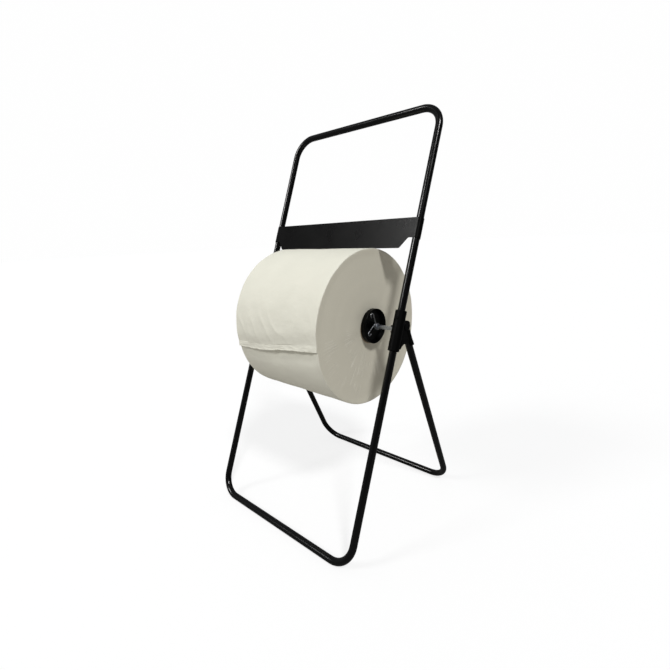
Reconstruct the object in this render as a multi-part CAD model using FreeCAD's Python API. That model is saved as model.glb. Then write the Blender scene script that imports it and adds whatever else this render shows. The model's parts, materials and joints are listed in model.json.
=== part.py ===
import FreeCAD, Part
import math
import os
from FreeCAD import Vector

# Free-standing paper towel holder, all sizes in millimetres.
# World: +Z up, the front bar of the stand is towards -Y, +X is the right-hand
# side seen from the front. Origin: middle of the footprint, on the floor.
#
# The leaning frame is drawn upright in its own plane: X across, Z along the
# legs from the centre line of the floor bar, Y square to the frame and
# positive to the rear. lean() then tips it back about the floor bar.

os.makedirs("parts", exist_ok=True)

# --- stand -------------------------------------------------------------------
TUBE_R = 8.0            # round tube, 16 mm across
TUBE_WALL = 1.2
HALF_W = 222.0          # centre line of each leg from the middle
BEND_R = 50.0           # centre line radius of the tube corners
FRAME_LEN = 994.8       # floor bar to top bar, centre to centre, along the lean
TILT = 21.53            # lean of the frame from vertical, degrees
REAR_BAR_Y = 418.2      # rear floor bar behind the front floor bar
SPLIT = 500.0           # upper and lower hoops meet here, inside the sleeves

# --- tear plate --------------------------------------------------------------
PLATE_T = 1.2
PLATE_GAP = 0.1         # bend clearance around the tube
PLATE_LOW = 674.6
PLATE_TOP = 741.2
CURL_LOW = 697.5        # the curled ends stop above the lower edge
CURL_END = 125.0        # how far the curl runs past the outer side, degrees

# --- bracket -----------------------------------------------------------------
SLEEVE_R = 12.0
SLEEVE_LOW = 456.0
SLEEVE_TOP = 542.5
PIVOT_S = 514.5         # hinge of the rear leg along the frame
PIVOT_OFF = 19.0        # and behind it
BOSS_R = 11.0           # boss and leg housing, outside radius
HOUSING_FOOT = 433.5    # height of the housing's level lower end
WEB_HALF = 9.4          # half width of the thinner web in front of it
SLOT_R = 8.25           # the leg tube swings in a slot of this radius
WEB_EDGE = [            # hollow lower edge of the web: behind the leg, along it
    (34.5, 475.2), (29.0, 476.5), (25.0, 476.9), (21.0, 476.2), (17.2, 474.2),
    (14.0, 471.0), (11.2, 467.0), (9.0, 462.5),
]
PIN_R = 3.0
PIN_CLEAR = 0.05

# --- screws --------------------------------------------------------------------
SCREW_UP_S = 525.0
SCREW_LOW_S = 474.0
PLATE_SCREW_S = 719.0
SCREW_SEAT = SLEEVE_R - 0.6
SCREW_REACH = 6.6
HOLE_R = 1.7            # pilot holes for the screws

# --- spindle, hubs and clips ---------------------------------------------------
ROD_S = 505.0
ROD_OFF = 22.0
ROD_R = 4.75
ROD_HALF = 209.0
SEAT_R = 4.85           # seat of the cradle
CRADLE_IN = 199.0       # inner face of the cradle
SLIDE_RISE = 10.0       # the cradle slot rises to the front, degrees
HUB_R = 39.3
HUB_DEPTH = 12.0
HUB_WALL = 2.4
HUB_BORE_R = 4.85
SPIGOT_R = 27.6
SPIGOT_LEN = 25.0
WIRE_R = 1.25
COIL_R = 6.12           # mean radius of the clip's coil
COIL_PITCH = 2.6
COIL_TURNS = 2.0        # whole turns between the two arms
UPPER_TIP = (-29.5, 25.0)       # arm tips from the rod's axis: behind, above
LOWER_TIP = (-22.0, -21.5)
HOOK_R = 4.4            # half round hooks at the arm tips
HOOK_BACK = 3.0          # straight return behind the half round
HUB_GAP = 1.5           # play between a hub and the end of the roll
BOSS_OUT = 9.5          # boss of the hub stands this far off its inner face
CLIP_GAP = 0.6          # clip stands this far off the hub

# --- roll ----------------------------------------------------------------------
ROLL_R = 176.8
TAIL_STEP = 0.6         # step at the loose end of the paper
TAIL_ANGLE = 189.3      # loose end, degrees from +Y towards +Z
CORE_OUT = 35.3
CORE_IN = 33.0
ROLL_HALF = 133.6
ROLL_DROP = 4.75        # the loose core hangs this far below the rod
ROLL_FORWARD = 1.7      # and this far in front of it
ROLL_SHIFT = 2.9        # the roll sits a little to the right of the middle

T = math.radians(TILT)
Y0 = -REAR_BAR_Y / 2.0
LOCAL_X = Vector(1, 0, 0)


def lean(shape):
    """Tip a shape drawn in the frame's plane back into the standing frame."""
    shape.rotate(Vector(0, 0, 0), LOCAL_X, -TILT)
    shape.translate(Vector(0, Y0, TUBE_R))
    return shape


def leaned_point(off, s):
    """World Y and Z of a point in the frame's plane."""
    y = Y0 + s * math.sin(T) + off * math.cos(T)
    z = TUBE_R + s * math.cos(T) - off * math.sin(T)
    return y, z


PIVOT_Y, PIVOT_Z = leaned_point(PIVOT_OFF, PIVOT_S)
ROD_Y, ROD_Z = leaned_point(ROD_OFF, ROD_S)
LEG_DY = REAR_BAR_Y + Y0 - PIVOT_Y
LEG_DZ = PIVOT_Z - TUBE_R
LEG_LEN = math.hypot(LEG_DY, LEG_DZ)
LEG_ANGLE = math.degrees(math.atan2(LEG_DY, LEG_DZ))
OPEN_ANGLE = LEG_ANGLE + TILT


def cyl_x(radius, x0, x1, y, z):
    """Cylinder along X."""
    return Part.makeCylinder(radius, x1 - x0, Vector(x0, y, z), LOCAL_X)


def box(x0, x1, y0, y1, z0, z1):
    return Part.makeBox(x1 - x0, y1 - y0, z1 - z0, Vector(x0, y0, z0))


def prism_x(points, x0, x1):
    """Flat outline given as (y, z) points, extruded along X."""
    wire = Part.makePolygon([Vector(x0, y, z) for y, z in points + points[:1]])
    return Part.Face(wire).extrude(Vector(x1 - x0, 0, 0))


def hoop_path(start, far, bend):
    """Centre line of a hoop: up one leg, across at Z = far, down the other."""
    d = 1.0 if far > start else -1.0
    k = bend * (1.0 - math.sqrt(0.5))
    w = HALF_W
    a = Vector(-w, 0, start)
    b = Vector(-w, 0, far - d * bend)
    m1 = Vector(-w + k, 0, far - d * k)
    c = Vector(-w + bend, 0, far)
    e = Vector(w - bend, 0, far)
    m2 = Vector(w - k, 0, far - d * k)
    f = Vector(w, 0, far - d * bend)
    g = Vector(w, 0, start)
    edges = [
        Part.LineSegment(a, b).toShape(),
        Part.Arc(b, m1, c).toShape(),
        Part.LineSegment(c, e).toShape(),
        Part.Arc(e, m2, f).toShape(),
        Part.LineSegment(f, g).toShape(),
    ]
    return Part.Wire(edges)


def swept(path, start, radius):
    ring = Part.Wire(Part.makeCircle(radius, start, Vector(0, 0, 1)))
    return path.makePipeShell([ring], True, False)


def hoop(start, far, bend):
    """Bent tube, hollow, with open ends at Z = start."""
    path = hoop_path(start, far, bend)
    origin = Vector(-HALF_W, 0, start)
    outer = swept(path, origin, TUBE_R)
    inner = swept(path, origin, TUBE_R - TUBE_WALL)
    return outer.cut(inner)


def screw_y(x, y, z, direction, reach):
    """Pan head screw along Y. direction -1: the head faces the front."""
    axis = Vector(0, -direction, 0)
    seat = Vector(x, y, z)
    shank = Part.makeCylinder(1.7, reach, seat, axis)
    head = Part.makeCylinder(3.4, 1.6, seat, Vector(0, direction, 0))
    edges = [e for e in head.Edges if abs(e.BoundBox.YMin - e.BoundBox.YMax) < 0.01
             and abs(e.BoundBox.YMin - (y + direction * 1.6)) < 0.01]
    head = head.makeFillet(0.9, edges)
    slot = box(x - 2.2, x + 2.2, min(y + direction * 0.9, y + direction * 2.0),
               max(y + direction * 0.9, y + direction * 2.0), z - 0.45, z + 0.45)
    cross = box(x - 0.45, x + 0.45, min(y + direction * 0.9, y + direction * 2.0),
                max(y + direction * 0.9, y + direction * 2.0), z - 2.2, z + 2.2)
    return shank.fuse(head).cut(slot).cut(cross)


def hole_y(x, z, y0, y1, radius):
    return Part.makeCylinder(radius, y1 - y0, Vector(x, y0, z), Vector(0, 1, 0))


def side_shape(shape, side):
    """Mirror a right-hand shape for the left-hand side."""
    if side > 0:
        return shape
    return shape.mirror(Vector(0, 0, 0), LOCAL_X)


def upper_frame():
    tube = hoop(SPLIT + 0.15, FRAME_LEN, BEND_R)
    for x in (-HALF_W, HALF_W):
        tube = tube.cut(hole_y(x, SCREW_UP_S, -9.0, 0.0, HOLE_R))
        tube = tube.cut(hole_y(x, PLATE_SCREW_S, 0.0, 9.0, HOLE_R))
    return tube


def lower_frame():
    tube = hoop(SPLIT - 0.15, 0.0, BEND_R)
    for side in (-1, 1):
        reach = cyl_x(HOLE_R, HALF_W - 9.0, HALF_W, 0, SCREW_LOW_S)
        tube = tube.cut(side_shape(reach, side))
    return tube


def tear_plate():
    """Flat sheet on the front of the legs, its ends curled around the tubes."""
    r_in = TUBE_R + PLATE_GAP
    r_out = r_in + PLATE_T
    flat_end = HALF_W
    half = [
        (0.0, PLATE_LOW), (188.0, PLATE_LOW), (190.5, PLATE_LOW + 0.9),
        (203.0, 691.6), (205.4, 695.0), (208.8, CURL_LOW), (flat_end, CURL_LOW),
        (flat_end, PLATE_TOP), (0.0, PLATE_TOP),
    ]
    left = [(-x, z) for x, z in reversed(half) if x > 0.0]
    outline = [Vector(x, -r_out, z) for x, z in half + left]
    wire = Part.makePolygon(outline + outline[:1])
    plate = Part.Face(wire).extrude(Vector(0, PLATE_T, 0))
    height = PLATE_TOP - CURL_LOW
    sweep = 90.0 + CURL_END
    for side in (-1, 1):
        base = Vector(HALF_W, 0, CURL_LOW)
        curl = Part.makeCylinder(r_out, height, base, Vector(0, 0, 1), sweep)
        curl = curl.cut(Part.makeCylinder(r_in, height, base, Vector(0, 0, 1)))
        curl.rotate(base, Vector(0, 0, 1), -90.0)
        plate = plate.fuse(side_shape(curl, side))
    for x in (-HALF_W, HALF_W):
        plate = plate.cut(hole_y(x, PLATE_SCREW_S, 0.0, 11.0, HOLE_R))
    return plate.removeSplitter()


def plate_screw(side):
    seat = TUBE_R + PLATE_GAP + PLATE_T
    return screw_y(side * HALF_W, seat, PLATE_SCREW_S, 1, 5.0)


def leg_bar(radius, start, end):
    """Round bar on the open leg's axis, between two distances from the pivot."""
    bar = Part.makeCylinder(radius, end - start, Vector(HALF_W, PIVOT_OFF, PIVOT_S - end),
                            Vector(0, 0, 1))
    bar.rotate(Vector(HALF_W, PIVOT_OFF, PIVOT_S), LOCAL_X, OPEN_ANGLE)
    return bar


def below(height):
    """Everything under a level plane at this height of the standing frame."""
    block = box(0.0, 2.0 * HALF_W, -300.0, 500.0, -200.0, height - TUBE_R)
    block.rotate(Vector(0, 0, 0), LOCAL_X, TILT)
    return block


def web_outline():
    """Web between the sleeve and the leg housing, with a hollow lower edge."""
    top = [(0.0, 521.5), (12.0, 522.6), (PIVOT_OFF, PIVOT_S + BOSS_R - 1.2)]
    return top + [(38.0, 494.0)] + WEB_EDGE + [(0.0, 459.0)]


def rib_outline():
    """Thicker band along the web's lower edge."""
    return WEB_EDGE + [(8.0, 479.0), (12.0, 479.8), (34.5, 484.4)]


def bracket(side):
    """Moulding that joins upper and lower hoops and carries the rear leg and rod."""
    c = HALF_W
    sleeve = Part.makeCylinder(SLEEVE_R, SLEEVE_TOP - SLEEVE_LOW,
                               Vector(c, 0, SLEEVE_LOW), Vector(0, 0, 1))
    rims = [e for e in sleeve.Edges if e.BoundBox.ZLength < 0.01]
    body = sleeve.makeChamfer(0.8, rims)
    web = prism_x(web_outline(), c - WEB_HALF, c + WEB_HALF)
    rib = prism_x(rib_outline(), c - BOSS_R, c + BOSS_R)
    boss = cyl_x(BOSS_R, c - BOSS_R, c + BOSS_R, PIVOT_OFF, PIVOT_S)
    rims = [e for e in boss.Edges if e.BoundBox.XLength < 0.01]
    boss = boss.makeFillet(2.0, rims)
    housing = leg_bar(BOSS_R, 0.0, 70.0)
    lip = leg_bar(BOSS_R + 0.5, 44.0, 70.0)
    body = body.fuse([web, rib, boss, housing.fuse(lip).cut(below(HOUSING_FOOT))])
    body = body.fuse(cradle_block())
    body = body.cut(leg_slot())
    body = body.cut(cradle_slot())
    body = body.cut(Part.makeCylinder(TUBE_R, 200.0, Vector(c, 0, 400.0), Vector(0, 0, 1)))
    body = body.cut(cyl_x(PIN_R, c - 9.2, c + 14.0, PIVOT_OFF, PIVOT_S))
    body = body.cut(hole_y(c, SCREW_UP_S, -14.0, 0.0, HOLE_R))
    body = body.cut(hole_y(c, SCREW_UP_S, -14.0, -SCREW_SEAT, 3.7))
    body = body.cut(cyl_x(HOLE_R, c - 14.0, c, 0, SCREW_LOW_S))
    body = body.cut(cyl_x(3.7, c - 14.0, c - SCREW_SEAT, 0, SCREW_LOW_S))
    return side_shape(body, side)


def leg_slot():
    """Room the leg's top end needs between open and folded."""
    c = HALF_W
    x0 = c - SLOT_R
    x1 = c + SLOT_R
    reach = 110.0
    a = math.radians(OPEN_ANGLE)
    eye = cyl_x(SLOT_R + 0.1, x0, x1, PIVOT_OFF, PIVOT_S)
    opened = leg_bar(SLOT_R, 0.0, reach)
    folded = Part.makeCylinder(SLOT_R, reach, Vector(c, PIVOT_OFF, PIVOT_S - reach),
                               Vector(0, 0, 1))
    tip = (PIVOT_OFF + reach * math.sin(a), PIVOT_S - reach * math.cos(a))
    wedge = prism_x([(PIVOT_OFF, PIVOT_S), tip, (PIVOT_OFF, PIVOT_S - reach)], x0, x1)
    return eye.fuse([opened, folded, wedge])


def slide_point(out, up):
    """Point (y, z) from the rod's seat: out along the cradle slot, up across it."""
    a = math.radians(SLIDE_RISE - TILT)
    y = ROD_OFF - out * math.cos(a) + up * math.sin(a)
    z = ROD_S + out * math.sin(a) + up * math.cos(a)
    return y, z


def cradle_block():
    pts = [slide_point(-8.2, -8.2), slide_point(12.0, -8.2), slide_point(14.0, -6.6),
           slide_point(14.0, 6.6), slide_point(12.0, 8.2), slide_point(-8.2, 8.2)]
    return prism_x(pts, CRADLE_IN, HALF_W - 9.0)


def cradle_slot():
    x0 = CRADLE_IN - 1.0
    x1 = ROD_HALF + 0.6
    pts = [slide_point(0.0, -SEAT_R), slide_point(24.0, -SEAT_R - 0.6),
           slide_point(24.0, SEAT_R + 0.6), slide_point(0.0, SEAT_R)]
    seat = cyl_x(SEAT_R, x0, x1, ROD_OFF, ROD_S)
    return seat.fuse(prism_x(pts, x0, x1))


def bracket_screw_upper(side):
    screw = screw_y(HALF_W, -SCREW_SEAT, SCREW_UP_S, -1, SCREW_REACH)
    return side_shape(screw, side)


def bracket_screw_lower(side):
    """Same screw on the inner side of the sleeve, driven along X."""
    screw = screw_y(0, -SCREW_SEAT, SCREW_LOW_S, -1, SCREW_REACH)
    screw.rotate(Vector(0, 0, 0), Vector(0, 0, 1), -90.0)
    screw.translate(Vector(HALF_W, 0, 0))
    return side_shape(screw, side)


def pivot_pin(side):
    c = HALF_W
    pin = cyl_x(PIN_R, c - 9.2, c + BOSS_R - 0.6, PIVOT_OFF, PIVOT_S)
    tip = [e for e in pin.Edges if e.BoundBox.XLength < 0.01 and e.BoundBox.XMin > c]
    return side_shape(pin.makeFillet(0.8, tip), side)


def open_leg(shape):
    """Place a shape drawn hanging from the pivot at the world origin."""
    shape.rotate(Vector(0, 0, 0), LOCAL_X, LEG_ANGLE)
    shape.translate(Vector(0, PIVOT_Y, PIVOT_Z))
    return shape


def rear_leg():
    return open_leg(hoop(-9.2, -LEG_LEN, BEND_R))


def leg_plug(side):
    """Plug in the open end of the leg tube, with the eye for the hinge pin."""
    c = HALF_W
    stem = Part.makeCylinder(TUBE_R - TUBE_WALL - 0.05, 24.0, Vector(c, 0, -33.0),
                             Vector(0, 0, 1))
    head = Part.makeCylinder(TUBE_R, 18.0, Vector(c, 0, -9.0), Vector(0, 0, 1))
    eye = cyl_x(TUBE_R, c - 9.0, c + 9.0, 0, 0)
    block = box(c - 9.0, c + 9.0, -9.0, 9.0, -9.0, 0.0)
    head = head.common(eye.fuse(block))
    plug = stem.fuse(head)
    plug = plug.cut(cyl_x(PIN_R + PIN_CLEAR, c - 9.0, c + 9.0, 0, 0))
    return open_leg(side_shape(plug, side))


def at_rod(shape):
    """Carry a shape drawn around the frame-plane X axis to the rod."""
    shape.translate(Vector(0, ROD_OFF, ROD_S))
    return lean(shape)


def spindle_rod():
    rod = cyl_x(ROD_R, -ROD_HALF, ROD_HALF, 0, 0)
    ends = [e for e in rod.Edges if e.BoundBox.XLength < 0.01]
    return at_rod(rod.makeChamfer(0.7, ends))


def at_roll(shape):
    """Carry a shape drawn around the world X axis to the roll's own axis."""
    shape.translate(Vector(0, ROD_Y - ROLL_FORWARD, ROD_Z - ROLL_DROP))
    return shape


def roll_core():
    x0 = ROLL_SHIFT - ROLL_HALF
    x1 = ROLL_SHIFT + ROLL_HALF
    return at_roll(cyl_x(CORE_OUT, x0, x1, 0, 0).cut(cyl_x(CORE_IN, x0, x1, 0, 0)))


def paper_roll():
    """Wound paper. The outer turn ends in a small step at the loose edge."""
    x0 = ROLL_SHIFT - ROLL_HALF
    x1 = ROLL_SHIFT + ROLL_HALF
    base = ROLL_R - TAIL_STEP
    a = math.radians(TAIL_ANGLE)
    round_part = cyl_x(base, x0, x1, 0, 0)
    turn = cyl_x(base, x0, x1, TAIL_STEP * math.cos(a), TAIL_STEP * math.sin(a))
    keep = box(x0, x1, 0.0, 200.0, -200.0, 200.0)
    keep.rotate(Vector(0, 0, 0), LOCAL_X, TAIL_ANGLE - 90.0)
    return at_roll(round_part.fuse(turn.common(keep)).cut(cyl_x(CORE_OUT, x0, x1, 0, 0)))


def hub_face(side):
    """Distance of a hub's inner face from the middle of the stand."""
    return ROLL_HALF + side * ROLL_SHIFT + HUB_GAP


def hub(side):
    """Dished disc: a spigot in the core, a flange at the roll's end, a deep rim."""
    face = hub_face(side)
    rim = cyl_x(HUB_R, face + 0.2, face + HUB_DEPTH, 0, 0)
    outer = [e for e in rim.Edges if e.BoundBox.XLength < 0.01]
    rim = rim.makeFillet(1.2, outer)
    dish = Part.makeCone(HUB_R - HUB_WALL - 3.0, HUB_R - HUB_WALL + 0.8,
                         HUB_DEPTH - 2.8, Vector(face + 3.0, 0, 0), LOCAL_X)
    boss = cyl_x(9.0, face - 4.0, face + BOSS_OUT, 0, 0)
    spigot = cyl_x(SPIGOT_R, face - SPIGOT_LEN, face + 1.0, 0, 0)
    hollow = cyl_x(SPIGOT_R - 2.6, face - SPIGOT_LEN, face - 2.0, 0, 0)
    sleeve = cyl_x(8.0, face - SPIGOT_LEN, face, 0, 0)
    shape = rim.cut(dish).fuse(spigot.cut(hollow))
    for i in range(6):
        rib = box(face - SPIGOT_LEN + 3.0, face - 1.0, 7.0, SPIGOT_R - 1.0, -0.9, 0.9)
        rib.rotate(Vector(0, 0, 0), LOCAL_X, 60.0 * i)
        shape = shape.fuse(rib)
    shape = shape.fuse([sleeve, boss])
    shape = shape.cut(cyl_x(HUB_BORE_R, face - 40.0, face + 40.0, 0, 0))
    return at_rod(side_shape(shape, side))


def wire_run(points):
    """Round wire along straight runs, with ball joints at the bends."""
    solid = Part.makeSphere(WIRE_R, points[0])
    for a, b in zip(points[:-1], points[1:]):
        step = b.sub(a)
        solid = solid.fuse(Part.makeCylinder(WIRE_R, step.Length, a, step))
        solid = solid.fuse(Part.makeSphere(WIRE_R, b))
    return solid


def hook_points(root, tip, turn, x):
    """Arm from root to tip (y, z), then a half round hook. turn: 1 or -1."""
    dy = tip[0] - root[0]
    dz = tip[1] - root[1]
    length = math.hypot(dy, dz)
    uy, uz = dy / length, dz / length
    ny, nz = turn * uz, -turn * uy
    bend = HOOK_R
    pts = [root]
    for i in range(0, 7):
        k = math.pi * i / 6.0
        along = -bend + bend * math.sin(k)
        out = bend - bend * math.cos(k)
        pts.append((tip[0] + uy * along + ny * out, tip[1] + uz * along + nz * out))
    last = pts[-1]
    pts.append((last[0] - uy * HOOK_BACK, last[1] - uz * HOOK_BACK))
    return [Vector(x, y, z) for y, z in pts]


def tangent_angle(tip, side):
    """Angle on the coil where a straight arm to tip leaves it."""
    reach = math.hypot(tip[0], tip[1])
    return math.atan2(tip[1], tip[0]) + side * math.acos(COIL_R / reach)


def clip(side):
    """Wire spring clip: a coil that grips the rod and two arms to squeeze."""
    face = hub_face(side) + BOSS_OUT + CLIP_GAP + WIRE_R
    a0 = tangent_angle(LOWER_TIP, -1.0)
    a1 = tangent_angle(UPPER_TIP, 1.0)
    turns = COIL_TURNS + ((a0 - a1) / (2.0 * math.pi)) % 1.0
    height = COIL_PITCH * turns
    helix = Part.makeHelix(COIL_PITCH, height, COIL_R)
    ring = Part.Wire(Part.makeCircle(WIRE_R, Vector(COIL_R, 0, 0), Vector(0, 1, 0)))
    coil = Part.Wire(helix.Edges).makePipeShell([ring], True, True)
    coil.rotate(Vector(0, 0, 0), Vector(0, 1, 0), 90.0)
    coil = coil.mirror(Vector(0, 0, 0), Vector(0, 1, 0))
    coil.rotate(Vector(0, 0, 0), LOCAL_X, math.degrees(a0) + 90.0)
    coil.translate(Vector(face, 0, 0))
    root0 = (COIL_R * math.cos(a0), COIL_R * math.sin(a0))
    root1 = (COIL_R * math.cos(a1), COIL_R * math.sin(a1))
    lower = wire_run(hook_points(root0, LOWER_TIP, -1, face))
    upper = wire_run(hook_points(root1, UPPER_TIP, -1, face + height))
    shape = coil.fuse([lower, upper])
    return at_rod(side_shape(shape, side))


def leaned_pair(maker, name):
    return {name + "_left": lean(maker(-1)), name + "_right": lean(maker(1))}


parts = {
    "upper_frame": lean(upper_frame()),
    "lower_frame": lean(lower_frame()),
    "tear_plate": lean(tear_plate()),
    "rear_leg": rear_leg(),
    "leg_plug_left": leg_plug(-1),
    "leg_plug_right": leg_plug(1),
    "spindle_rod": spindle_rod(),
    "roll_core": roll_core(),
    "paper_roll": paper_roll(),
    "hub_left": hub(-1),
    "hub_right": hub(1),
    "clip_left": clip(-1),
    "clip_right": clip(1),
}
parts.update(leaned_pair(plate_screw, "plate_screw"))
parts.update(leaned_pair(bracket, "bracket"))
parts.update(leaned_pair(bracket_screw_upper, "bracket_screw_upper"))
parts.update(leaned_pair(bracket_screw_lower, "bracket_screw_lower"))
parts.update(leaned_pair(pivot_pin, "pivot_pin"))

for node, shape in parts.items():
    if len(shape.Solids) != 1 or not shape.isValid():
        raise ValueError(node + " is not one valid solid")
    shape.exportStep("parts/" + node + ".step")
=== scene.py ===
import json
import math
import bpy
import bmesh
from mathutils import Matrix, Vector, noise


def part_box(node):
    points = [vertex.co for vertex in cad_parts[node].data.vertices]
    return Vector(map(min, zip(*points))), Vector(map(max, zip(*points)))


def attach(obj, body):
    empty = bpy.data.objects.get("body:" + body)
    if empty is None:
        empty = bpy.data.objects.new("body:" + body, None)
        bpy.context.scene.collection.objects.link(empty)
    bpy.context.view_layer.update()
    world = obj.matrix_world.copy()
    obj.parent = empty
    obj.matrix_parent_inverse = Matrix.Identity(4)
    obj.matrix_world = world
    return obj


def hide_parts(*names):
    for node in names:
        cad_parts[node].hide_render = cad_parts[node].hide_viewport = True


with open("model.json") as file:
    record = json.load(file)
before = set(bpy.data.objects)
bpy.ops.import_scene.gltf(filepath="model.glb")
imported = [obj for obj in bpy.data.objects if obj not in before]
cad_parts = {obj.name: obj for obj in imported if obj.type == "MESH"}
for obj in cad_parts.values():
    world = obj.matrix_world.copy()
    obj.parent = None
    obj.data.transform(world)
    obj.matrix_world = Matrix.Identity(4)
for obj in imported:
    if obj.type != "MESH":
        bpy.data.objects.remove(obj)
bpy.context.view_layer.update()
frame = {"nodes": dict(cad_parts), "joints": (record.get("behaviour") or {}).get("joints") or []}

JOINTS = {j["name"]: j for j in frame["joints"]}

# ---------------------------------------------------------------- measurements
TUBE_R = 0.008
BEND_R = 0.050          # centre line of the corners of every hoop
JOIN_GAP = 0.0003       # upper and lower tubes meet inside the sleeve
LEG_START = 0.0095      # open end of the rear leg, measured from its pivot
TUBE_SIDES = 40

low_lo, low_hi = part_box("lower_frame")
up_lo, up_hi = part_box("upper_frame")
leg_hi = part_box("rear_leg")[1]
HALF_W = low_hi.x - TUBE_R
FRONT_BAR = Vector((0.0, low_lo.y + TUBE_R, TUBE_R))
TOP_BAR = Vector((0.0, up_hi.y - TUBE_R, up_hi.z - TUBE_R))
REAR_BAR = Vector((0.0, leg_hi.y - TUBE_R, TUBE_R))
ALONG = (TOP_BAR - FRONT_BAR).normalized()
BEHIND = Vector((0.0, ALONG.z, -ALONG.y))
PIVOT = Vector(JOINTS["leg_fold"]["pos_m"])
ROLL_AXIS = Vector(JOINTS["roll_spin"]["pos_m"])
roll_lo, roll_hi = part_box("paper_roll")
ROLL_X0, ROLL_X1 = roll_lo.x, roll_hi.x
ROLL_R = ROLL_AXIS.y - roll_lo.y
core_lo, core_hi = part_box("roll_core")
CORE_R = (core_hi.z - core_lo.z) / 2.0


def on_frame(x, off, s):
    """Point of the leaning frame: across, behind its plane, up along it."""
    return FRONT_BAR + Vector((x, 0.0, 0.0)) + BEHIND * off + ALONG * s


# ------------------------------------------------------------------- materials
def new_material(name):
    """Empty material with one Principled shader on its output."""
    mat = bpy.data.materials.new(name)
    mat.use_nodes = True
    nodes = mat.node_tree.nodes
    nodes.clear()
    out = nodes.new("ShaderNodeOutputMaterial")
    shader = nodes.new("ShaderNodeBsdfPrincipled")
    mat.node_tree.links.new(shader.outputs["BSDF"], out.inputs["Surface"])
    return mat, shader


def link(mat, a, b):
    mat.node_tree.links.new(a, b)


def object_coords(mat, scale=(1.0, 1.0, 1.0)):
    """Object coordinates in metres, stretched by scale."""
    tc = mat.node_tree.nodes.new("ShaderNodeTexCoord")
    mapping = mat.node_tree.nodes.new("ShaderNodeMapping")
    mapping.inputs["Scale"].default_value = scale
    link(mat, tc.outputs["Object"], mapping.inputs["Vector"])
    return mapping.outputs["Vector"]


def noise_node(mat, vector, scale, detail=3.0, rough=0.55):
    n = mat.node_tree.nodes.new("ShaderNodeTexNoise")
    n.inputs["Scale"].default_value = scale
    n.inputs["Detail"].default_value = detail
    n.inputs["Roughness"].default_value = rough
    link(mat, vector, n.inputs["Vector"])
    return n.outputs["Fac"]


def ramp(mat, fac, stops):
    """Colour ramp. A stop is (position, grey level or colour)."""
    r = mat.node_tree.nodes.new("ShaderNodeValToRGB")
    while len(r.color_ramp.elements) < len(stops):
        r.color_ramp.elements.new(0.5)
    for e, (pos, value) in zip(r.color_ramp.elements, stops):
        e.position = pos
        rgb = (value, value, value) if isinstance(value, float) else value
        e.color = (rgb[0], rgb[1], rgb[2], 1.0)
    link(mat, fac, r.inputs["Fac"])
    return r.outputs["Color"]


def math_node(mat, op, a, b=None):
    m = mat.node_tree.nodes.new("ShaderNodeMath")
    m.operation = op
    for i, v in enumerate((a, b)):
        if v is None:
            continue
        if isinstance(v, (int, float)):
            m.inputs[i].default_value = v
        else:
            link(mat, v, m.inputs[i])
    return m.outputs["Value"]


def bump(mat, shader, height, strength, distance):
    b = mat.node_tree.nodes.new("ShaderNodeBump")
    b.inputs["Strength"].default_value = strength
    b.inputs["Distance"].default_value = distance
    link(mat, height, b.inputs["Height"])
    link(mat, b.outputs["Normal"], shader.inputs["Normal"])


def coated_metal(name, color, rough, shine, grain, depth):
    """Powder coat: dark colour, a fine orange-peel surface, slightly uneven gloss."""
    mat, sh = new_material(name)
    v = object_coords(mat)
    sh.inputs["Base Color"].default_value = (*color, 1.0)
    sh.inputs["Specular IOR Level"].default_value = shine
    gloss = ramp(mat, noise_node(mat, v, 18.0, 2.0), [(0.3, rough - 0.03), (0.7, rough + 0.04)])
    link(mat, gloss, sh.inputs["Roughness"])
    bump(mat, sh, noise_node(mat, v, grain, 2.0), depth, 0.0002)
    return mat


def plastic(name, color, rough, shine, grain, depth):
    """Moulded plastic with a fine spark-eroded texture."""
    mat, sh = new_material(name)
    v = object_coords(mat)
    base = noise_node(mat, v, 40.0, 3.0)
    tint = ramp(mat, base, [(0.25, tuple(c * 0.85 for c in color)),
                            (0.75, tuple(c * 1.2 for c in color))])
    link(mat, tint, sh.inputs["Base Color"])
    sh.inputs["Roughness"].default_value = rough
    sh.inputs["Specular IOR Level"].default_value = shine
    bump(mat, sh, noise_node(mat, v, grain, 4.0, 0.7), depth, 0.0002)
    return mat


def plated_metal(name, color, rough, stretch):
    """Zinc plate: fine lines around or along the stock and a soft cloudiness."""
    mat, sh = new_material(name)
    v = object_coords(mat, stretch)
    sh.inputs["Metallic"].default_value = 1.0
    lines = noise_node(mat, v, 900.0, 2.0)
    cloud = noise_node(mat, object_coords(mat), 60.0, 3.0)
    tone = ramp(mat, cloud, [(0.3, tuple(c * 0.86 for c in color)), (0.7, color)])
    link(mat, tone, sh.inputs["Base Color"])
    link(mat, ramp(mat, lines, [(0.3, rough - 0.06), (0.7, rough + 0.1)]), sh.inputs["Roughness"])
    bump(mat, sh, lines, 0.25, 0.0001)
    return mat


def roll_radius(mat):
    """Distance from the roll's axis and the two coordinates across it."""
    tc = mat.node_tree.nodes.new("ShaderNodeTexCoord")
    shift = mat.node_tree.nodes.new("ShaderNodeVectorMath")
    shift.operation = "SUBTRACT"
    link(mat, tc.outputs["Object"], shift.inputs[0])
    shift.inputs[1].default_value = ROLL_AXIS
    flat = mat.node_tree.nodes.new("ShaderNodeVectorMath")
    flat.operation = "MULTIPLY"
    link(mat, shift.outputs["Vector"], flat.inputs[0])
    flat.inputs[1].default_value = (0.0, 1.0, 1.0)
    length = mat.node_tree.nodes.new("ShaderNodeVectorMath")
    length.operation = "LENGTH"
    link(mat, flat.outputs["Vector"], length.inputs[0])
    return length.outputs["Value"], flat.outputs["Vector"], tc.outputs["Object"]


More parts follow.
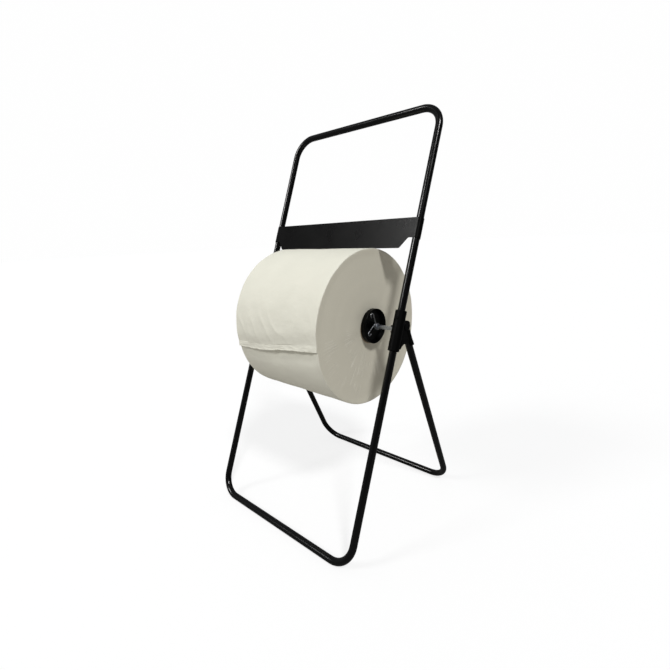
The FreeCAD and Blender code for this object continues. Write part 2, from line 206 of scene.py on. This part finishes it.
def paper_side(name, color):
    """Outer turns of the towel: soft crepe grain over shallow ripples."""
    mat, sh = new_material(name)
    v = object_coords(mat)
    crepe = noise_node(mat, object_coords(mat, (1.0, 0.5, 0.5)), 1100.0, 4.0, 0.65)
    soft = noise_node(mat, v, 26.0, 4.0, 0.6)
    tint = ramp(mat, noise_node(mat, v, 11.0, 4.0),
                [(0.3, tuple(c * 0.95 for c in color)), (0.7, color)])
    link(mat, tint, sh.inputs["Base Color"])
    sh.inputs["Roughness"].default_value = 0.88
    sh.inputs["Specular IOR Level"].default_value = 0.15
    height = math_node(mat, "ADD", math_node(mat, "MULTIPLY", crepe, 0.10), soft)
    bump(mat, sh, height, 0.7, 0.0018)
    return mat


def paper_end(name, color):
    """Cut end of the roll: edges of the turns, and scuffs that run outwards."""
    mat, sh = new_material(name)
    radius, flat, obj = roll_radius(mat)
    wobble = noise_node(mat, obj, 22.0, 3.0)
    turn = math_node(mat, "ADD", math_node(mat, "MULTIPLY", radius, 2600.0),
                     math_node(mat, "MULTIPLY", wobble, 9.0))
    fine = math_node(mat, "SINE", turn)
    combine = mat.node_tree.nodes.new("ShaderNodeCombineXYZ")
    link(mat, math_node(mat, "MULTIPLY", radius, 150.0), combine.inputs["X"])
    bands = noise_node(mat, combine.outputs["Vector"], 1.6, 4.0, 0.7)
    unit = mat.node_tree.nodes.new("ShaderNodeVectorMath")
    unit.operation = "NORMALIZE"
    link(mat, flat, unit.inputs[0])
    spokes = noise_node(mat, unit.outputs["Vector"], 24.0, 5.0, 0.75)
    spokes = ramp(mat, spokes, [(0.49, 0.0), (0.55, 1.0), (0.62, 0.2)])
    reach = ramp(mat, math_node(mat, "MULTIPLY", radius, 5.0),
                 [(0.25, 0.0), (0.42, 1.0), (0.70, 0.5), (0.85, 0.0)])
    patchy = ramp(mat, noise_node(mat, obj, 24.0, 3.0), [(0.48, 0.0), (0.62, 1.0)])
    sector = mat.node_tree.nodes.new("ShaderNodeVectorMath")
    sector.operation = "DOT_PRODUCT"
    link(mat, unit.outputs["Vector"], sector.inputs[0])
    sector.inputs[1].default_value = (0.0, -0.62, -0.78)
    lower = ramp(mat, sector.outputs["Value"], [(0.35, 0.06), (0.80, 1.0)])
    scuff = math_node(mat, "MULTIPLY", spokes, math_node(mat, "MULTIPLY", reach, patchy))
    scuff = math_node(mat, "MULTIPLY", scuff, lower)
    tint = ramp(mat, bands, [(0.25, tuple(c * 0.97 for c in color)), (0.75, color)])
    pale = mat.node_tree.nodes.new("ShaderNodeVectorMath")
    pale.operation = "ADD"
    link(mat, tint, pale.inputs[0])
    link(mat, math_node(mat, "MULTIPLY", scuff, 0.24), pale.inputs[1])
    link(mat, pale.outputs["Vector"], sh.inputs["Base Color"])
    sh.inputs["Roughness"].default_value = 0.92
    sh.inputs["Specular IOR Level"].default_value = 0.1
    height = math_node(mat, "ADD", math_node(mat, "MULTIPLY", fine, 0.04),
                       math_node(mat, "MULTIPLY", bands, 0.10))
    height = math_node(mat, "ADD", height, math_node(mat, "MULTIPLY", scuff, 1.2))
    bump(mat, sh, height, 0.4, 0.002)
    return mat


def cardboard(name, color):
    """Spiral-wound board: streaks round the core and a rough surface."""
    mat, sh = new_material(name)
    v = object_coords(mat)
    tint = ramp(mat, noise_node(mat, object_coords(mat, (0.3, 1.0, 1.0)), 300.0, 4.0, 0.7),
                [(0.3, tuple(c * 0.8 for c in color)), (0.7, color)])
    link(mat, tint, sh.inputs["Base Color"])
    sh.inputs["Roughness"].default_value = 0.85
    bump(mat, sh, noise_node(mat, v, 500.0, 3.0), 0.2, 0.0003)
    return mat


FRAME_PAINT = coated_metal("frame_paint", (0.0012, 0.0012, 0.0013), 0.19, 0.32, 900.0, 0.005)
PLATE_PAINT = coated_metal("plate_paint", (0.0018, 0.0018, 0.0018), 0.29, 0.10, 1400.0, 0.22)
SCREW_BLACK = coated_metal("screw_black", (0.0010, 0.0010, 0.0010), 0.5, 0.06, 1200.0, 0.1)
BRACKET = plastic("bracket_plastic", (0.0010, 0.0010, 0.0010), 0.46, 0.06, 1500.0, 0.25)
PLUG = plastic("plug_plastic", (0.0014, 0.0014, 0.0015), 0.5, 0.09, 1500.0, 0.2)
HUB = plastic("hub_plastic", (0.0008, 0.0008, 0.0009), 0.34, 0.09, 1500.0, 0.12)
ROD = plated_metal("rod_plated", (0.54, 0.57, 0.63), 0.30, (1.0, 0.04, 0.04))
WIRE = plated_metal("clip_wire", (0.40, 0.41, 0.43), 0.30, (0.2, 0.2, 0.2))
PIN = coated_metal("pin_black", (0.0015, 0.0015, 0.0015), 0.42, 0.10, 1200.0, 0.1)
PAPER = paper_side("towel_paper", (0.665, 0.655, 0.570))
PAPER_END = paper_end("towel_paper_end", (0.600, 0.575, 0.482))
BOARD = cardboard("core_board", (0.40, 0.31, 0.21))


# ---------------------------------------------------------------- mesh helpers
def make_object(name, verts, faces, material, smooth=True):
    mesh = bpy.data.meshes.new(name)
    mesh.from_pydata([tuple(v) for v in verts], [], faces)
    mesh.update()
    mesh.polygons.foreach_set("use_smooth", [smooth] * len(mesh.polygons))
    obj = bpy.data.objects.new(name, mesh)
    bpy.context.scene.collection.objects.link(obj)
    mesh.materials.append(material)
    return obj


def fix_normals(obj):
    """Turn every face outwards."""
    bm = bmesh.new()
    bm.from_mesh(obj.data)
    bmesh.ops.recalc_face_normals(bm, faces=bm.faces)
    bm.to_mesh(obj.data)
    bm.free()
    obj.data.update()


def sharp_by_angle(obj, degrees):
    """Smooth shading with hard edges where faces meet at more than the angle."""
    mesh = obj.data
    bm = bmesh.new()
    bm.from_mesh(mesh)
    limit = math.radians(degrees)
    for f in bm.faces:
        f.smooth = True
    for e in bm.edges:
        if len(e.link_faces) == 2 and e.calc_face_angle(0.0) > limit:
            e.smooth = False
    bm.to_mesh(mesh)
    bm.free()
    mesh.update()


def arc_points(centre, a, b, steps):
    """Points on a quarter turn: centre + a*cos + b*sin."""
    out = []
    for i in range(steps + 1):
        t = math.pi / 2.0 * i / steps
        out.append(centre + a * math.cos(t) + b * math.sin(t))
    return out


def hoop_points(start, bar, half):
    """Centre line of a hoop from one open end round the bar to the other."""
    run = (bar - start).normalized()
    left = Vector((-half, 0.0, 0.0))
    right = Vector((half, 0.0, 0.0))
    x = Vector((1.0, 0.0, 0.0))
    r = BEND_R
    first = start + left
    pts = [first]
    gap = (bar - start).length - r
    for i in range(1, 8):
        pts.append(first + run * (gap * i / 8.0))
    c1 = bar + left + x * r - run * r
    pts += arc_points(c1, -x * r, run * r, 14)
    for i in range(1, 8):
        pts.append((bar + left + x * r).lerp(bar + right - x * r, i / 8.0))
    c2 = bar + right - x * r - run * r
    pts += arc_points(c2, run * r, x * r, 14)
    last = start + right
    for i in range(7, 0, -1):
        pts.append(last + run * (gap * i / 8.0))
    pts.append(last)
    return pts


def sweep(points, radius, sides, first_normal):
    """Rings of a round section along a line, without twist."""
    verts = []
    faces = []
    n = len(points)
    normal = first_normal.normalized()
    for i, p in enumerate(points):
        ahead = points[min(i + 1, n - 1)] - p
        behind = p - points[max(i - 1, 0)]
        tangent = (ahead.normalized() + behind.normalized()).normalized()
        normal = (normal - tangent * normal.dot(tangent)).normalized()
        side = tangent.cross(normal)
        for k in range(sides):
            t = 2.0 * math.pi * k / sides
            verts.append(p + normal * (radius * math.cos(t)) + side * (radius * math.sin(t)))
    for i in range(n - 1):
        for k in range(sides):
            a = i * sides + k
            b = i * sides + (k + 1) % sides
            faces.append((a, b, b + sides, a + sides))
    faces.append(tuple(range(sides))[::-1])
    faces.append(tuple((n - 1) * sides + k for k in range(sides)))
    return verts, faces


def swept_tube(name, points, radius, sides, normal, material):
    """Round tube with flat ends along a line of points."""
    verts, faces = sweep(points, radius, sides, normal)
    obj = make_object(name, verts, faces, material)
    fix_normals(obj)
    sharp_by_angle(obj, 50.0)
    return obj


def place(obj, body, slot_name, *nodes):
    """Ride obj on a body, in place of the CAD nodes it stands for."""
    if nodes:
        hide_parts(*nodes)
    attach(obj, body)
    return obj


def dress(node, material, angle=32.0, bevel=0.0):
    """Show a CAD piece as it is, with its finish and softened edges."""
    obj = frame["nodes"][node]
    obj.data.materials.clear()
    obj.data.materials.append(material)
    for poly in obj.data.polygons:
        poly.use_smooth = True
        poly.material_index = 0
    if bevel > 0.0:
        mod = obj.modifiers.new("soft_edge", "BEVEL")
        mod.width = bevel
        mod.segments = 2
        mod.limit_method = "ANGLE"
        mod.angle_limit = math.radians(angle)
        mod.harden_normals = True
    return obj


# ----------------------------------------------------------------------- frame
SPLIT_S = (up_lo.z - FRONT_BAR.z + TUBE_R * ALONG.y) / ALONG.z

top_start = on_frame(0.0, 0.0, SPLIT_S)
upper = swept_tube("upper_tube", hoop_points(top_start, TOP_BAR, HALF_W), TUBE_R, TUBE_SIDES,
                   BEHIND, FRAME_PAINT)
place(upper, "frame", "frame_paint", "upper_frame")

low_start = on_frame(0.0, 0.0, SPLIT_S - JOIN_GAP)
lower = swept_tube("lower_tube", hoop_points(low_start, FRONT_BAR, HALF_W), TUBE_R, TUBE_SIDES,
                   BEHIND, FRAME_PAINT)
place(lower, "frame", "frame_paint", "lower_frame")

leg_run = (REAR_BAR - PIVOT).normalized()
leg_start = PIVOT + leg_run * LEG_START
leg = swept_tube("rear_leg_tube", hoop_points(leg_start, REAR_BAR, HALF_W), TUBE_R, TUBE_SIDES,
                 Vector((0.0, 1.0, 0.0)), FRAME_PAINT)
place(leg, "rear_leg", "frame_paint", "rear_leg")

for side in ("left", "right"):
    dress("bracket_" + side, BRACKET, 30.0, 0.0004)
    dress("bracket_screw_upper_" + side, SCREW_BLACK)
    dress("bracket_screw_lower_" + side, SCREW_BLACK)
    dress("plate_screw_" + side, SCREW_BLACK)
    dress("pivot_pin_" + side, PIN)
    dress("leg_plug_" + side, PLUG)
dress("tear_plate", PLATE_PAINT, 40.0, 0.0003)
dress("roll_core", BOARD)
dress("spindle_rod", ROD, 40.0, 0.0002)
for side in ("left", "right"):
    dress("hub_" + side, HUB, 30.0, 0.0004)
    dress("clip_" + side, WIRE)


# ------------------------------------------------------------------------ roll
# Loose edge of the paper: (x, degrees round the axis), from the left end to the right.
EDGE = [(-0.131, 193.6), (-0.086, 193.2), (-0.055, 192.8), (-0.025, 191.9), (0.015, 189.7),
        (0.060, 187.6), (0.091, 187.0), (0.129, 185.5), (0.140, 185.2)]


def tail_angle(x):
    """Where the loose edge of the paper lies, degrees from +Y towards +Z."""
    for (x0, a0), (x1, a1) in zip(EDGE[:-1], EDGE[1:]):
        if x <= x1:
            t = max(0.0, (x - x0) / (x1 - x0))
            return a0 + (a1 - a0) * t
    return EDGE[-1][1]


def wave(x, y, seed):
    return noise.noise(Vector((x, y, seed)))


HEM = 4.0                       # degrees of the edge that stand off the roll
R_EDGE = ROLL_R - 0.00005       # nothing reaches past this
R_BODY = ROLL_R - 0.0009
ROUND_OFF = 0.0012              # rim between the side and the cut ends
STATIONS = 150
END_RINGS = 44
END_MARGIN = 0.003


def crease(x, y, seed):
    """Sharp-backed folds between soft hollows, 0 to 1."""
    return (1.0 - abs(wave(x, y, seed))) ** 3


def side_radius(x, deg, ahead):
    """Radius of the paper. ahead: degrees round the outer turn from its edge."""
    along = (x - ROLL_X0) / (ROLL_X1 - ROLL_X0)
    mid = min(1.0, along / 0.30) * min(1.0, (1.0 - along) / 0.10)
    if ahead < HEM:
        k = 1.0 - ahead / HEM
        flare = 0.80 + 0.50 * wave(x * 17.0, 0.0, 7.7) + 0.25 * wave(x * 60.0, 0.0, 5.5)
        flare = min(1.0, max(0.3, flare))
        start = 0.0012 + 0.0015 * mid
        r = R_BODY - start + (start + 0.0009) * flare * k ** 1.3
        r += 0.0009 * (crease(x * 38.0 + ahead * 0.30, ahead * 0.45, 61.0) - 0.6) * (0.3 + k)
        r += 0.00025 * wave(x * 120.0, ahead * 0.5, 1.5)
        return min(r, R_EDGE)
    r = R_BODY - 0.0006 * ahead / 360.0
    calm = min(1.0, (360.0 - ahead) / 12.0)
    r += 0.00095 * wave(x * 15.0, deg * 0.055, 3.1) * calm
    r += 0.00060 * wave(x * 34.0, deg * 0.12, 8.4) * calm
    r += 0.00010 * wave(x * 90.0, deg * 0.40, 11.0)
    drawn = math.exp(-((ahead - HEM) / 6.0) ** 2)
    r -= drawn * (0.0012 + 0.0014 * mid)
    r += drawn * 0.0010 * wave(x * 55.0, deg * 0.06, 21.0)
    near = math.exp(-((ahead - 17.0) / 15.0) ** 2)
    r += near * 0.0016 * (crease(x * 24.0 + ahead * 0.03, deg * 0.045, 33.0) - 0.7)
    below = 360.0 - ahead
    r -= (0.0022 + 0.0090 * mid) * math.exp(-(below / 9.0) ** 1.4)
    r += 0.0006 * math.exp(-below / 8.0) * wave(x * 110.0, below * 0.03, 41.0)
    return min(r, R_EDGE)


def turn_steps():
    """Degrees round the outer turn: close together by its edge, wider elsewhere."""
    steps = [0.35 * i for i in range(60)]
    while steps[-1] < 340.0:
        steps.append(steps[-1] + 1.25)
    while steps[-1] < 358.6:
        steps.append(steps[-1] + 0.6)
    return steps + [359.2]


def end_x(end, length, unit, inner):
    """Surface of the cut end: slightly dished rings, level at the core."""
    relief = 0.00025 * wave(length * 55.0, 0.3, 5.0 + end)
    relief += 0.0007 * wave(unit.y * 3.0 + length * 6.0, unit.z * 3.0, 9.0 + end)
    return 0.0012 + relief * min(1.0, (length - inner) / 0.01)


def wound_paper():
    """Side of the roll, its two cut ends and the wall of its bore, as one mesh."""
    steps = turn_steps()
    last = len(steps) - 1
    verts = []
    faces = []
    rows = []
    inset = [0.0, ROUND_OFF / 3.0, ROUND_OFF]
    stations = [ROLL_X0 + d for d in inset]
    first = ROLL_X0 + END_MARGIN
    run = ROLL_X1 - ROLL_X0 - 2.0 * END_MARGIN
    stations += [first + run * i / STATIONS for i in range(STATIONS + 1)]
    stations += [ROLL_X1 - d for d in reversed(inset)]
    for x in stations:
        edge = tail_angle(x)
        to_end = min(x - ROLL_X0, ROLL_X1 - x)
        drop = 0.0
        if to_end < ROUND_OFF:
            k = 1.0 - to_end / ROUND_OFF
            drop = ROUND_OFF * (1.0 - math.sqrt(max(0.0, 1.0 - k * k)))
        row = []
        for ahead in steps:
            deg = edge - ahead
            r = side_radius(x, deg, ahead) - drop
            t = math.radians(deg)
            row.append(len(verts))
            verts.append(Vector((x, ROLL_AXIS.y + r * math.cos(t), ROLL_AXIS.z + r * math.sin(t))))
        rows.append(row)
    for a, b in zip(rows[:-1], rows[1:]):
        for k in range(last):
            faces.append((a[k], b[k], b[k + 1], a[k + 1]))
        faces.append((a[last], b[last], b[0], a[0]))
    side_faces = len(faces)
    inner = CORE_R + 0.0002
    bores = []
    for end, row in ((0, rows[0]), (1, rows[-1])):
        x_face = ROLL_X0 if end == 0 else ROLL_X1
        outward = -1.0 if end == 0 else 1.0
        previous = row
        for j in range(1, END_RINGS + 1):
            ring = []
            for index in row:
                rim = verts[index]
                d = Vector((0.0, rim.y - ROLL_AXIS.y, rim.z - ROLL_AXIS.z))
                length = inner + (d.length - inner) * (1.0 - j / END_RINGS)
                unit = d.normalized()
                depth = end_x(end, length, unit, inner) * min(1.0, j / 4.0)
                ring.append(len(verts))
                verts.append(Vector((x_face - outward * max(0.0, depth),
                                     ROLL_AXIS.y + unit.y * length,
                                     ROLL_AXIS.z + unit.z * length)))
            for k in range(last):
                faces.append((previous[k], previous[k + 1], ring[k + 1], ring[k]))
            faces.append((previous[last], previous[0], ring[0], ring[last]))
            previous = ring
        bores.append(previous)
    for k in range(last + 1):
        k2 = (k + 1) % (last + 1)
        faces.append((bores[0][k], bores[0][k2], bores[1][k2], bores[1][k]))
    obj = make_object("paper_roll_wound", verts, faces, PAPER)
    obj.data.materials.append(PAPER_END)
    for i, poly in enumerate(obj.data.polygons):
        poly.material_index = 1 if i >= side_faces else 0
    fix_normals(obj)
    sharp_by_angle(obj, 48.0)
    return obj


roll = wound_paper()
place(roll, "roll", "towel_paper", "paper_roll")

# ----------------------------------------------------------------------- stage
FLOOR_SEEN = (0.22, 0.22, 0.22, 1.0)        # takes the shadows that the camera sees
FLOOR_GLOW = 0.75                           # lifts the seen floor to near white
FLOOR_BOUNCE = (0.485, 0.465, 0.440, 1.0)   # sends light up to the object
FLOOR_MIRRORED = (0.16, 0.16, 0.155, 1.0)   # what gloss on the object reflects
SKY_COLOR = (0.97, 0.985, 1.0, 1.0)
SKY_LEVEL = 0.41
SKY_FADE = -0.29                            # change of level towards +X
SKY_MIRRORED = -0.62                        # change of level in reflections, as a share
SKY_SEEN = 0.995                            # backdrop that the camera sees


def floor_material():
    """Near white to the camera, warm grey to the light that bounces off it."""
    mat, seen = new_material("floor")
    nodes = mat.node_tree.nodes
    seen.inputs["Base Color"].default_value = FLOOR_SEEN
    seen.inputs["Roughness"].default_value = 0.9
    seen.inputs["Specular IOR Level"].default_value = 0.1
    bounce = nodes.new("ShaderNodeBsdfDiffuse")
    tone = nodes.new("ShaderNodeMix")
    tone.data_type = "RGBA"
    tone.inputs["A"].default_value = FLOOR_BOUNCE
    tone.inputs["B"].default_value = FLOOR_MIRRORED
    glow = nodes.new("ShaderNodeEmission")
    glow.inputs["Color"].default_value = (1.0, 1.0, 1.0, 1.0)
    glow.inputs["Strength"].default_value = FLOOR_GLOW
    lit = nodes.new("ShaderNodeAddShader")
    mix = nodes.new("ShaderNodeMixShader")
    path = nodes.new("ShaderNodeLightPath")
    link(mat, path.outputs["Is Glossy Ray"], tone.inputs["Factor"])
    link(mat, tone.outputs["Result"], bounce.inputs["Color"])
    link(mat, seen.outputs["BSDF"], lit.inputs[0])
    link(mat, glow.outputs["Emission"], lit.inputs[1])
    link(mat, path.outputs["Is Camera Ray"], mix.inputs["Fac"])
    link(mat, bounce.outputs["BSDF"], mix.inputs[1])
    link(mat, lit.outputs["Shader"], mix.inputs[2])
    link(mat, mix.outputs["Shader"], nodes["Material Output"].inputs["Surface"])
    return mat


def sky_math(tree, operation, factor=None, offset=None):
    """Math node of the sky, with fixed second and third inputs where given."""
    node = tree.nodes.new("ShaderNodeMath")
    node.operation = operation
    if factor is not None:
        node.inputs[1].default_value = factor
        node.inputs[2].default_value = offset
    return node


def studio_sky():
    """White backdrop for the camera, a soft uneven sky for every other ray."""
    world = bpy.data.worlds.new("studio")
    world.use_nodes = True
    tree = world.node_tree
    tree.nodes.clear()
    output = tree.nodes.new("ShaderNodeOutputWorld")
    ambient = tree.nodes.new("ShaderNodeBackground")
    ambient.inputs["Color"].default_value = SKY_COLOR
    seen = tree.nodes.new("ShaderNodeBackground")
    seen.inputs["Color"].default_value = (1.0, 1.0, 1.0, 1.0)
    seen.inputs["Strength"].default_value = SKY_SEEN
    direction = tree.nodes.new("ShaderNodeTexCoord")
    split = tree.nodes.new("ShaderNodeSeparateXYZ")
    path = tree.nodes.new("ShaderNodeLightPath")
    mix = tree.nodes.new("ShaderNodeMixShader")
    fade = sky_math(tree, "MULTIPLY_ADD", SKY_FADE, SKY_LEVEL)
    dim = sky_math(tree, "MULTIPLY_ADD", SKY_MIRRORED, 1.0)
    level = sky_math(tree, "MULTIPLY")
    tree.links.new(direction.outputs["Generated"], split.inputs["Vector"])
    tree.links.new(split.outputs["X"], fade.inputs[0])
    tree.links.new(path.outputs["Is Glossy Ray"], dim.inputs[0])
    tree.links.new(fade.outputs["Value"], level.inputs[0])
    tree.links.new(dim.outputs["Value"], level.inputs[1])
    tree.links.new(level.outputs["Value"], ambient.inputs["Strength"])
    tree.links.new(path.outputs["Is Camera Ray"], mix.inputs["Fac"])
    tree.links.new(ambient.outputs["Background"], mix.inputs[1])
    tree.links.new(seen.outputs["Background"], mix.inputs[2])
    tree.links.new(mix.outputs["Shader"], output.inputs["Surface"])
    return world


bpy.ops.mesh.primitive_circle_add(vertices=96, radius=30.0, fill_type="NGON",
                                  location=(0.0, 0.0, -0.0002))
floor = bpy.context.object
floor.name = "floor"
floor.data.materials.append(floor_material())

scene = bpy.context.scene
scene.world = studio_sky()


def sun(name, towards, strength, angle, color=(1.0, 1.0, 1.0)):
    """Lamp far away. towards points from the object to the lamp; angle sets its softness."""
    data = bpy.data.lights.new(name, "SUN")
    data.energy = strength
    data.angle = math.radians(angle)
    data.color = color
    obj = bpy.data.objects.new(name, data)
    scene.collection.objects.link(obj)
    obj.rotation_euler = Vector(towards).to_track_quat("Z", "Y").to_euler()
    return obj


sun("key", (-0.40, -0.70, 0.59), 1.25, 14.0, (1.0, 0.995, 0.985))
sun("lamp", (0.556, -0.294, 0.778), 2.0, 9.0)


# Camera: degrees round the object from its front, above it and about the line of sight.
CAMERA_AZ = 42.755
CAMERA_EL = 13.775
CAMERA_ROLL = -2.629
CAMERA_LENS = 21.857
CAMERA_OFFSET = Vector((0.684857, -0.508360, 0.663305))     # from the front floor bar


def add_camera():
    """Camera at a standing viewer's place, in front and to the right."""
    a = math.radians(CAMERA_AZ)
    e = math.radians(CAMERA_EL)
    r = math.radians(CAMERA_ROLL)
    back = Vector((math.sin(a) * math.cos(e), -math.cos(a) * math.cos(e), math.sin(e)))
    right = Vector((math.cos(a), math.sin(a), 0.0))
    up = back.cross(right)
    tilted_right = right * math.cos(r) + up * math.sin(r)
    tilted_up = up * math.cos(r) - right * math.sin(r)
    turn = Matrix((tilted_right, tilted_up, back)).transposed()
    data = bpy.data.cameras.new("camera")
    data.sensor_width = 36.0
    data.lens = CAMERA_LENS
    cam = bpy.data.objects.new("camera", data)
    scene.collection.objects.link(cam)
    cam.matrix_world = Matrix.Translation(FRONT_BAR + CAMERA_OFFSET) @ turn.to_4x4()
    scene.camera = cam


add_camera()
scene.view_settings.view_transform = "Standard"
